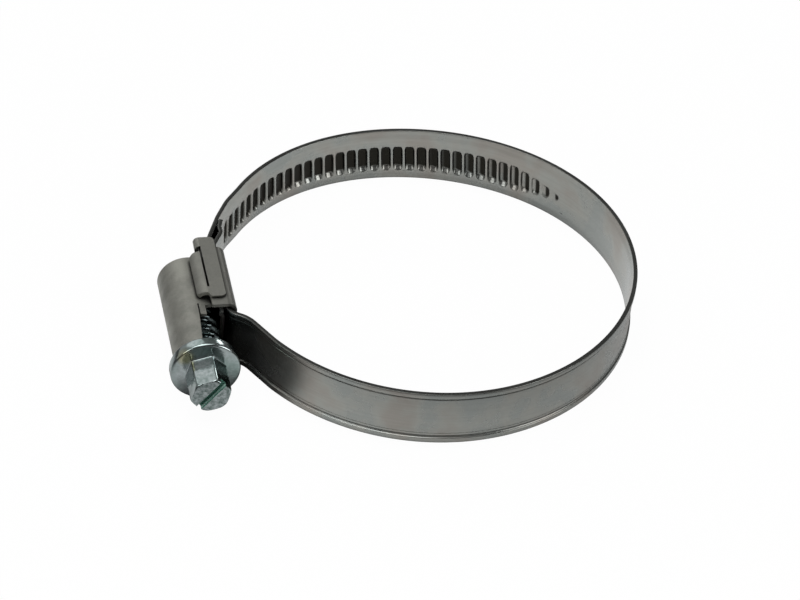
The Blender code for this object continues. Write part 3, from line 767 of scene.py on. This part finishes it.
def thread_lift(y, turn, crest_y, depth):
    """Height of the worm's thread over its core, at y and at a turn in degrees from inwards."""
    from_crest = (y - crest_y + RACK_PITCH * turn / 360) / RACK_PITCH
    distance = abs(from_crest - round(from_crest)) * RACK_PITCH
    flank = (THREAD_ROOT_WIDTH - THREAD_CREST_WIDTH) / 2
    ends = min((WORM_TIP - TIP_CHAMFER - y) / RACK_PITCH, (y - COLLAR_BACK) / RACK_PITCH)
    return depth * smooth((THREAD_ROOT_WIDTH / 2 - distance) / flank) * smooth(ends)


def hexagon_radius(turn):
    """Distance from the axis to the hexagon at a turn in degrees, with its long edges a little worn."""
    from_flat = (turn - HEX_TURN) % 60 - 30
    corner = HEX_CORNER - HEX_EDGE_LOSS
    return min(corner, HEX_ACROSS_FLATS / 2 / math.cos(math.radians(from_flat)))


def screw_rows(settings, crest_y):
    """The screw's outline from its tip to its head, as (y, function that gives the radius at a turn)."""
    def round_row(radius):
        return lambda turn: radius

    def thread_row(y):
        return lambda turn: CORE_RADIUS + thread_lift(y, turn, crest_y, settings.thread_depth / MM)

    def head_row(limit, fillet):
        return lambda turn: min(limit, hexagon_radius(turn)) + fillet

    rows = [(WORM_TIP, round_row(CORE_RADIUS - TIP_CHAMFER))]
    y = WORM_TIP - TIP_CHAMFER
    while y > COLLAR_BACK + THREAD_ROW_GAP:
        rows.append((y, thread_row(y)))
        y -= THREAD_ROW_GAP
    rows.append((COLLAR_BACK, round_row(CORE_RADIUS)))
    back_edge = COLLAR_BEVEL / 2
    rows += [(COLLAR_BACK - back_edge * (1 - run), round_row(COLLAR_RADIUS - back_edge * (1 - rise)))
             for rise, run in quarter(EDGE_STEPS)]
    front = COLLAR_BACK - COLLAR_THICKNESS
    rows += [(front + COLLAR_BEVEL * (1 - rise), round_row(COLLAR_RADIUS - COLLAR_BEVEL * (1 - run)))
             for rise, run in quarter(BEVEL_STEPS)]
    rim = COLLAR_RADIUS - 2 * COLLAR_BEVEL
    root = HEX_CORNER + HEX_ROOT_MARGIN
    rows += [(front, round_row(rim + (root - rim) * step / FACE_STEPS)) for step in range(FACE_STEPS + 1)]
    rows += [(front - HEX_FILLET * (1 - run), head_row(COLLAR_RADIUS, HEX_FILLET * (1 - rise)))
             for rise, run in quarter(EDGE_STEPS)]
    base = front - HEX_FILLET
    top = SCREW_END + HEX_CROWN
    rows += [(base + (top - base) * step / FACE_STEPS, head_row(COLLAR_RADIUS, 0.0))
             for step in range(1, FACE_STEPS)]
    rows += [(SCREW_END + HEX_CROWN * (1 - rise),
              head_row(HEX_CORNER - (HEX_CORNER - HEX_END_RADIUS) * (1 - run), 0.0))
             for rise, run in quarter(FACE_STEPS)]
    return rows


def mark_head(mesh):
    """Note on the mesh which faces are the head's end, its slot and its level sides."""
    struck = mesh.attributes.new("struck", "FLOAT", "FACE")
    angle = math.radians(SLOT_TURN)
    for polygon in mesh.polygons:
        right = polygon.center.x / MM - AXIS_X
        up = polygon.center.z / MM - MIDDLE_Z
        depth = polygon.center.y / MM - MIDDLE_Y - SCREW_END
        across = abs(up * math.cos(angle) - right * math.sin(angle))
        value = 0.0
        if depth < SLOT_END_SKIN:
            value = STRUCK_END
        elif depth < SLOT_DEPTH + SLOT_END_SKIN and across < SLOT_WIDTH / 2 + SLOT_END_SKIN:
            value = STRUCK_SLOT
        elif depth < HEX_HEIGHT and abs(polygon.normal.z) > LEVEL_NORMAL:
            value = STRUCK_SIDE
        struck.data[polygon.index].value = value


def build_screw(settings, material):
    """The screw in one piece: worm, collar and slotted hexagon head."""
    route = Route()
    crest_y = TAIL_TIP + route.total - route.pockets()[-1] + 0.5 * RACK_PITCH
    rings = []
    for y, radius_at in screw_rows(settings, crest_y):
        ring = []
        for side in range(SCREW_SIDES):
            turn = HEX_TURN + 360 * side / SCREW_SIDES
            radius = radius_at(turn)
            angle = math.radians(turn)
            ring.append(in_frame(SCREW_OUT - radius * math.cos(angle), y, radius * math.sin(angle)))
        rings.append(ring)
    screw = loft("slotted_worm_screw", rings)
    half = SLOT_WIDTH / 2
    reach = HEX_ACROSS_FLATS
    angle = math.radians(SLOT_TURN)
    corners = []
    for along, across in ((-reach, -half), (reach, -half), (reach, half), (-reach, half)):
        corners.append((along * math.cos(angle) - across * math.sin(angle),
                        along * math.sin(angle) + across * math.cos(angle)))
    slot = prism("slot", corners, SCREW_END - PAST, SCREW_END + SLOT_DEPTH,
                 lambda a, b, y: (SCREW_OUT - a, y, b))
    combine(screw, slot, "DIFFERENCE")
    mark_head(screw.data)
    soften(screw, 0.0, SCREW_SHARP_ANGLE)
    dress(screw, "screw", "worm_screw", material)


# Finishes

def feed(tree, node, **inputs):
    """Give a node its inputs. Each is a value or another node's output."""
    for name, value in inputs.items():
        key = int(name[1:]) if name[0] == "i" and name[1:].isdigit() else name.replace("_", " ")
        socket = node.inputs[key]
        if isinstance(value, bpy.types.NodeSocket):
            tree.links.new(value, socket)
        else:
            socket.default_value = value


def add_node(tree, kind, settings=None, **inputs):
    """Add a node with its own properties and its inputs."""
    node = tree.nodes.new(kind)
    for name, value in (settings or {}).items():
        setattr(node, name, value)
    feed(tree, node, **inputs)
    return node


def start_material(name):
    """A new material with its node tree and its shader."""
    material = bpy.data.materials.new(name)
    material.use_nodes = True
    return material, material.node_tree, material.node_tree.nodes["Principled BSDF"]


def object_place(tree):
    """The place on the object, in its own metres."""
    return tree.nodes.new("ShaderNodeTexCoord").outputs["Object"]


def along_axis(tree, place, axis):
    """One coordinate of a place."""
    return add_node(tree, "ShaderNodeSeparateXYZ", Vector=place).outputs[axis]


def mesh_value(tree, name):
    """A value that the mesh holds for its points or faces."""
    return add_node(tree, "ShaderNodeAttribute", {"attribute_name": name}).outputs["Fac"]


def grey(level):
    """A linear grey."""
    return level, level, level


def ramp_between(tree, factor, stops):
    """A colour ramp over a factor. Stops are (place, linear colour)."""
    node = tree.nodes.new("ShaderNodeValToRGB")
    tree.links.new(factor, node.inputs["Fac"])
    elements = node.color_ramp.elements
    for index, (where, colour) in enumerate(stops):
        element = elements[index] if index < 2 else elements.new(where)
        element.position = where
        element.color = (*colour, 1.0)
    return node.outputs["Color"]


def noise(tree, place, size_mm, detail, roughness):
    """Soft noise whose pattern has this size in millimetres."""
    node = add_node(tree, "ShaderNodeTexNoise", Vector=place, Scale=1 / MM / size_mm,
                    Detail=detail, Roughness=roughness)
    return node.outputs["Fac"]


def map_range(tree, value, low, high, to_low=0.0, to_high=1.0, kind="LINEAR"):
    """A value carried from one range to another, and held at its ends."""
    node = add_node(tree, "ShaderNodeMapRange", {"interpolation_type": kind}, Value=value,
                    From_Min=low, From_Max=high, To_Min=to_low, To_Max=to_high)
    return node.outputs["Result"]


def arithmetic(tree, operation, first, second):
    """Two numbers put together."""
    return add_node(tree, "ShaderNodeMath", {"operation": operation}, i0=first, i1=second).outputs[0]


def multiply(tree, first, second):
    """One colour times another."""
    node = add_node(tree, "ShaderNodeMix", {"data_type": "RGBA", "blend_type": "MULTIPLY"},
                    i0=1.0, i6=first, i7=second)
    return node.outputs[2]


def mix_colours(tree, share, first, second):
    """The first colour where the share is 0, and the second where it's 1."""
    node = add_node(tree, "ShaderNodeMix", {"data_type": "RGBA"}, i0=share, i6=first, i7=second)
    return node.outputs[2]


def round_patch(tree, place, centre, near, far, inside, outside):
    """A value that changes smoothly between two distances from a centre, both in millimetres."""
    node = add_node(tree, "ShaderNodeVectorMath", {"operation": "DISTANCE"},
                    i0=place, i1=in_frame(*centre))
    away = node.outputs["Value"]
    return map_range(tree, away, near * MM, far * MM, inside, outside, kind="SMOOTHSTEP")


def tight_places(tree, reach_mm, shade, closed, open_share):
    """White in the open, and a dark shade where steel close by is all that a mirror finish can show."""
    node = add_node(tree, "ShaderNodeAmbientOcclusion", {"samples": 8}, Distance=reach_mm * MM)
    return ramp_between(tree, node.outputs["AO"], ((closed, linear(shade)), (open_share, grey(1.0))))


def relief(tree, strength, height_mm, pattern):
    """A fine relief over the surface, with this height in millimetres."""
    node = add_node(tree, "ShaderNodeBump", Strength=strength, Distance=height_mm * MM, Height=pattern)
    return node.outputs["Normal"]


def rolled_strip_steel(settings):
    """Cold rolled strip with a thin zinc coat: a soft mirror with faint lines along its length, with
    painted shade near other steel and in the pockets and grooves, and a painted dark upper rim.
    """
    material, tree, shader = start_material("rolled_strip_steel")
    place = object_place(tree)
    clouds = noise(tree, place, size_mm=9, detail=3.0, roughness=0.5)
    tint = ramp_between(tree, clouds, (
        (0.38, settings.haze), (0.5, settings.colour), (0.62, settings.stain)))
    strip = add_node(tree, "ShaderNodeUVMap", {"uv_map": "strip"})
    stretched = add_node(tree, "ShaderNodeMapping", Vector=strip.outputs["UV"],
                         Scale=(1 / LINE_STRETCH, 1.0, 1.0))
    lines = noise(tree, stretched.outputs["Vector"], size_mm=0.5, detail=4.0, roughness=0.6)
    lined = multiply(tree, tint, ramp_between(tree, lines, ((0.35, grey(0.93)), (0.65, grey(1.0)))))
    # Painted shade where other steel is close, darkest on the band beside the housing.
    near_steel_shade = tight_places(tree, reach_mm=12, shade="#3a3a38", closed=0.3, open_share=0.65)
    shaded = multiply(tree, lined, near_steel_shade)
    # Painted dark reflection: the upper rim alone is painted in the rim colour, darker than the faces.
    top = (MIDDLE_Z + HALF_WIDTH) * MM
    rim = map_range(tree, along_axis(tree, place, "Z"), top - RIM_START * MM, top - RIM_FULL * MM)
    edged = mix_colours(tree, rim, shaded, (*settings.rim, 1.0))
    # Painted shade: pockets and roller grooves are painted towards the recess colour by the mesh's shade
    # value.
    depth = map_range(tree, mesh_value(tree, "recess_shade"), RECESS_SHADE_START, RECESS_SHADE_FULL, kind="SMOOTHSTEP")
    pressed = mix_colours(tree, depth, edged, (*settings.recess_shade, 1.0))
    feed(tree, shader, Base_Color=pressed, Metallic=1.0,
         Roughness=map_range(tree, clouds, 0.3, 0.7, to_low=0.24, to_high=0.34),
         Normal=relief(tree, strength=0.2, height_mm=0.02, pattern=lines))
    return material


def plated_sheet_steel(settings, colour, name, seed):
    """Pressed sheet with a dull zinc coat: soft greenish grey, with fine pits and faint rubbed patches,
    and painted shade in corners and creases and on the saddle wall below the plate's foot.
    """
    material, tree, shader = start_material(name)
    place = object_place(tree)
    moved = add_node(tree, "ShaderNodeMapping", Vector=place, Location=(seed, 0.0, 0.0))
    rubbed = noise(tree, moved.outputs["Vector"], size_mm=5, detail=3.0, roughness=0.6)
    grain = noise(tree, moved.outputs["Vector"], size_mm=0.3, detail=2.0, roughness=0.5)
    tint = ramp_between(tree, rubbed, ((0.3, settings.smudge), (0.6, colour)))
    pitted = multiply(tree, tint, ramp_between(tree, grain, ((0.32, grey(0.9)), (0.5, grey(1.0)))))
    # Painted shade in corners, creases and gaps between parts, from how close other steel is.
    corners = tight_places(tree, reach_mm=2.2, shade="#2e2e2b", closed=0.35, open_share=0.8)
    crease_shade = tight_places(tree, reach_mm=0.8, shade="#2c2c28", closed=0.5, open_share=0.95)
    shaded = multiply(tree, pitted, multiply(tree, corners, crease_shade))
    # Painted shade: the saddle wall below the plate's foot is painted darker.
    foot = (LOOP_X - PLATE_FOOT) * MM
    plate_foot_shade = map_range(tree, along_axis(tree, place, "X"), foot - FOOT_SHADE_END * MM,
                          foot + FOOT_SHADE_START * MM, to_low=1.0, to_high=0.66)
    feed(tree, shader, Base_Color=multiply(tree, shaded, plate_foot_shade), Metallic=0.75,
         Roughness=map_range(tree, rubbed, 0.3, 0.7, to_low=0.52, to_high=0.42),
         Normal=relief(tree, strength=0.3, height_mm=0.03, pattern=grain))
    return material


def bright_zinc(settings):
    """Bright zinc plating over a forged screw: shiny, gently dented, with a green and straw film, a
    mottled end and green in the slot, and with painted shade near other steel, on the worm and at the
    slot's mouth and floor."""
    material, tree, shader = start_material("bright_zinc_plating")
    place = object_place(tree)
    film = noise(tree, place, size_mm=6, detail=1.0, roughness=0.4)
    tint = ramp_between(tree, film, ((0.36, settings.green_tint), (0.56, settings.colour)))
    straw = round_patch(tree, place, *STRAW_PATCH)
    filmed = mix_colours(tree, straw, tint, (*settings.straw_tint, 1.0))
    scuffs = noise(tree, place, size_mm=0.7, detail=4.0, roughness=0.6)
    mottled = ramp_between(tree, scuffs, ((0.34, settings.struck), (0.68, settings.colour)))
    struck = mesh_value(tree, "struck")
    at_end = map_range(tree, struck, 0.0, STRUCK_END, to_low=0.3)
    ended = mix_colours(tree, at_end, filmed, mottled)
    # Painted shade where other steel is close, as on the thread under the cover and round the collar.
    near_steel_shade = tight_places(tree, reach_mm=4, shade="#3b4541", closed=0.15, open_share=0.5)
    shaded = multiply(tree, ended, near_steel_shade)
    inwards = along_axis(tree, place, "Y")
    mouth = (MIDDLE_Y + SCREW_END) * MM
    depth = map_range(tree, inwards, mouth, mouth + SLOT_DEPTH * MM)
    # Painted shade in the slot: the green is painted darker at the slot's mouth and floor, with a lighter
    # band between.
    slot_shade = ramp_between(tree, depth, (
        (0.25, linear("#8fb0a6")), (0.42, grey(1.0)), (0.62, grey(1.0)), (0.8, linear("#7d9f95"))))
    in_slot = map_range(tree, struck, STRUCK_END, STRUCK_SLOT)
    slotted = mix_colours(tree, in_slot, shaded, multiply(tree, (*settings.slot, 1.0), slot_shade))
    # Painted shade on the worm, which lies deep in the housing.
    thread = (MIDDLE_Y + COLLAR_BACK) * MM
    on_thread = map_range(tree, inwards, thread, thread + WORM_SHADE_FULL * MM)
    worm_shade = ramp_between(tree, on_thread, ((0.0, grey(1.0)), (1.0, settings.worm_shade)))
    metal = ramp_between(tree, struck, (
        (0.0, grey(1.0)), (STRUCK_SIDE, grey(0.65)), (STRUCK_END, grey(1.0)), (STRUCK_SLOT, grey(0.3))))
    dents = noise(tree, place, size_mm=1.8, detail=2.0, roughness=0.5)
    feed(tree, shader, Base_Color=multiply(tree, slotted, worm_shade), Metallic=metal,
         Roughness=map_range(tree, dents, 0.3, 0.7, to_low=0.1, to_high=0.2),
         Normal=relief(tree, strength=0.35, height_mm=0.1, pattern=dents))
    return material


def white_board(settings):
    """Matt white board, almost plain white to the camera. To steel that mirrors it, it carries painted
    light and shade:
    a painted bounce that makes it brightest at the loop's right, and painted shade under the screw's
    collar and far from the clamp."""
    material, tree, shader = start_material("white_board")
    feed(tree, shader, Base_Color=(*settings.floor_colour, 1.0), Roughness=0.9)
    rays = tree.nodes.new("ShaderNodeLightPath").outputs
    ground = tree.nodes.new("ShaderNodeNewGeometry").outputs["Position"]
    # Painted light and shade for mirrored rays only: a painted bounce, painted shadow under the collar and
    # painted dark far from the clamp, drawn in with a black emission.
    bounce = round_patch(tree, ground, *BOARD_BOUNCE)
    mirrored = arithmetic(tree, "MULTIPLY", rays["Is Glossy Ray"], bounce)
    through = arithmetic(tree, "MAXIMUM", mirrored, rays["Is Transmission Ray"])
    seen = arithmetic(tree, "MULTIPLY", rays["Is Camera Ray"], CAMERA_WHITE)
    share = arithmetic(tree, "MAXIMUM", seen, through)
    white = add_node(tree, "ShaderNodeEmission", Color=(*grey(1.0), 1.0), Strength=1.0)
    lit = add_node(tree, "ShaderNodeMixShader", i0=share, i1=shader.outputs[0], i2=white.outputs[0])
    under = round_patch(tree, ground, *COLLAR_SHADE)
    beyond = round_patch(tree, ground, *OUTER_SHADE)
    darker = arithmetic(tree, "MAXIMUM", under, beyond)
    shaded = arithmetic(tree, "MULTIPLY", darker, rays["Is Glossy Ray"])
    black = add_node(tree, "ShaderNodeEmission", Color=(*grey(0.0), 1.0), Strength=0.0)
    board = add_node(tree, "ShaderNodeMixShader", i0=shaded, i1=lit.outputs[0], i2=black.outputs[0])
    feed(tree, tree.nodes["Material Output"], Surface=board.outputs[0])
    return material


# Stage

def place_camera(focal_length):
    """The photograph's camera: it looks down on the loop's middle from the screw head's side."""
    elevation = math.radians(CAMERA_ELEVATION)
    away = Vector((0.0, -math.cos(elevation), math.sin(elevation))) * CAMERA_DISTANCE
    ahead = -away.normalized()
    right = Vector((1.0, 0.0, 0.0))
    level = Matrix((right, -right.cross(ahead), ahead))
    turned = (Matrix.Rotation(math.radians(CAMERA_ROLL), 3, "Z")
              @ Matrix.Rotation(math.radians(CAMERA_TILT), 3, "X")
              @ Matrix.Rotation(math.radians(CAMERA_PAN), 3, "Y") @ level)
    back = Matrix.Rotation(math.radians(-HOUSING_AZIMUTH), 3, "Z")
    axes = Matrix((turned[0], -turned[1], -turned[2])).transposed()
    camera = bpy.data.objects.new("camera", bpy.data.cameras.new("camera"))
    camera.data.lens = focal_length
    camera.data.sensor_width = SENSOR_WIDTH
    camera.data.clip_start = CLIP_NEAR * MM
    camera.data.clip_end = CLIP_FAR * MM
    middle = Matrix.Translation(in_frame(0, 0, 0) + back @ away * MM)
    camera.matrix_world = middle @ (back @ axes).to_4x4()
    bpy.context.scene.collection.objects.link(camera)
    bpy.context.scene.camera = camera


def add_lamp(name, place, width, power):
    """A square soft lamp that points at the clamp's middle."""
    lamp = bpy.data.lights.new(name, "AREA")
    lamp.size = width * MM
    lamp.energy = power
    item = bpy.data.objects.new(name, lamp)
    item.location = Vector(place) * MM
    item.rotation_mode = "QUATERNION"
    item.rotation_quaternion = (-Vector(place)).to_track_quat("-Z", "Y")
    bpy.context.scene.collection.objects.link(item)


def light_room(colour):
    """A plain room for the steel to mirror, lightest on the left and darkest in front, where the
    camera stands. To the camera itself it's white."""
    world = bpy.data.worlds.new("room")
    bpy.context.scene.world = world
    world.use_nodes = True
    tree = world.node_tree
    place = tree.nodes.new("ShaderNodeTexCoord").outputs["Generated"]
    sideways = map_range(tree, along_axis(tree, place, "X"), -1.0, 0.5, to_low=1.9, to_high=0.5)
    depth = map_range(tree, along_axis(tree, place, "Y"), -0.7, 0.3, to_low=0.42, to_high=1.0)
    mirrored = tree.nodes["Background"]
    feed(tree, mirrored, Color=(*colour, 1.0), Strength=arithmetic(tree, "MULTIPLY", sideways, depth))
    seen = tree.nodes.new("ShaderNodeLightPath").outputs["Is Camera Ray"]
    white = add_node(tree, "ShaderNodeBackground", Color=(*grey(1.0), 1.0), Strength=CAMERA_WHITE)
    room = add_node(tree, "ShaderNodeMixShader", i0=seen, i1=mirrored.outputs[0], i2=white.outputs[0])
    feed(tree, tree.nodes["World Output"], Surface=room.outputs[0])


def build_stage(settings):
    """White board, grey room, soft lamps and the camera."""
    reach = FLOOR_REACH * MM
    corners = [Vector((x * reach, y * reach, -FLOOR_DROP * MM))
               for x, y in ((-1, -1), (1, -1), (1, 1), (-1, 1))]
    floor = add_mesh("floor", corners, [(0, 1, 2, 3)])
    floor.data.materials.append(white_board(settings))
    light_room(settings.room_colour)
    for name, place, width, power, share in LAMPS:
        add_lamp(name, place, width, getattr(settings, power) * share)
    place_camera(settings.focal_length)
    bpy.context.scene.view_settings.view_transform = "Standard"


class HOSECLAMP_OT_band(Operator):
    """Make the strip with its lips and pressed rack"""
    bl_idname = "hoseclamp.band"
    bl_label = "Band"

    def execute(self, context):
        settings = context.scene.clamp_band
        build_band(settings, rolled_strip_steel(settings))
        return {"FINISHED"}


class HOSECLAMP_OT_bracket(Operator):
    """Make the saddle with its two crimped side plates"""
    bl_idname = "hoseclamp.bracket"
    bl_label = "Saddle bracket"

    def execute(self, context):
        settings = context.scene.clamp_housing
        build_bracket(settings, plated_sheet_steel(settings, settings.colour, "dull_zinc_saddle", 0.0))
        return {"FINISHED"}


class HOSECLAMP_OT_cover(Operator):
    """Make the half-round cover over the worm"""
    bl_idname = "hoseclamp.cover"
    bl_label = "Screw cover"

    def execute(self, context):
        settings = context.scene.clamp_housing
        lip_rise = context.scene.clamp_band.lip_rise / MM
        build_cover(settings, lip_rise,
                    plated_sheet_steel(settings, settings.cover_colour, "dull_zinc_cover", 0.4))
        return {"FINISHED"}


class HOSECLAMP_OT_screw(Operator):
    """Make the worm screw with its collar and slotted head"""
    bl_idname = "hoseclamp.screw"
    bl_label = "Worm screw"

    def execute(self, context):
        settings = context.scene.clamp_screw
        build_screw(settings, bright_zinc(settings))
        return {"FINISHED"}


class HOSECLAMP_OT_stage(Operator):
    """Make the board, the room, the lamps and the camera"""
    bl_idname = "hoseclamp.stage"
    bl_label = "Stage"

    def execute(self, context):
        build_stage(context.scene.clamp_stage)
        return {"FINISHED"}


class HOSECLAMP_PT_pieces(Panel):
    """Lists the clamp's pieces and the stage"""
    bl_label = "Hose clamp"
    bl_idname = "HOSECLAMP_PT_pieces"
    bl_space_type = "VIEW_3D"
    bl_region_type = "UI"
    bl_category = "Hose clamp"

    def draw(self, context):
        for operator, group in PIECES.items():
            box = self.layout.box()
            settings = getattr(context.scene, group)
            for name in settings.__annotations__:
                box.prop(settings, name)
            box.operator(operator.bl_idname)


PIECES = {
    HOSECLAMP_OT_band: "clamp_band",
    HOSECLAMP_OT_bracket: "clamp_housing",
    HOSECLAMP_OT_cover: "clamp_housing",
    HOSECLAMP_OT_screw: "clamp_screw",
    HOSECLAMP_OT_stage: "clamp_stage",
}
GROUPS = {
    "clamp_band": ClampBandSettings,
    "clamp_housing": ClampHousingSettings,
    "clamp_screw": ClampScrewSettings,
    "clamp_stage": ClampStageSettings,
}
CLASSES = (*PIECES, HOSECLAMP_PT_pieces)


def register():
    for group in GROUPS.values():
        bpy.utils.register_class(group)
    for item in CLASSES:
        bpy.utils.register_class(item)
    for name, group in GROUPS.items():
        setattr(bpy.types.Scene, name, PointerProperty(type=group))


def unregister():
    for name in GROUPS:
        delattr(bpy.types.Scene, name)
    for item in reversed(CLASSES):
        bpy.utils.unregister_class(item)
    for group in reversed(list(GROUPS.values())):
        bpy.utils.unregister_class(group)


def main():
    register()
    bpy.ops.hoseclamp.band()
    bpy.ops.hoseclamp.bracket()
    bpy.ops.hoseclamp.cover()
    bpy.ops.hoseclamp.screw()
    bpy.ops.hoseclamp.stage()


if __name__ == "__main__":
    main()
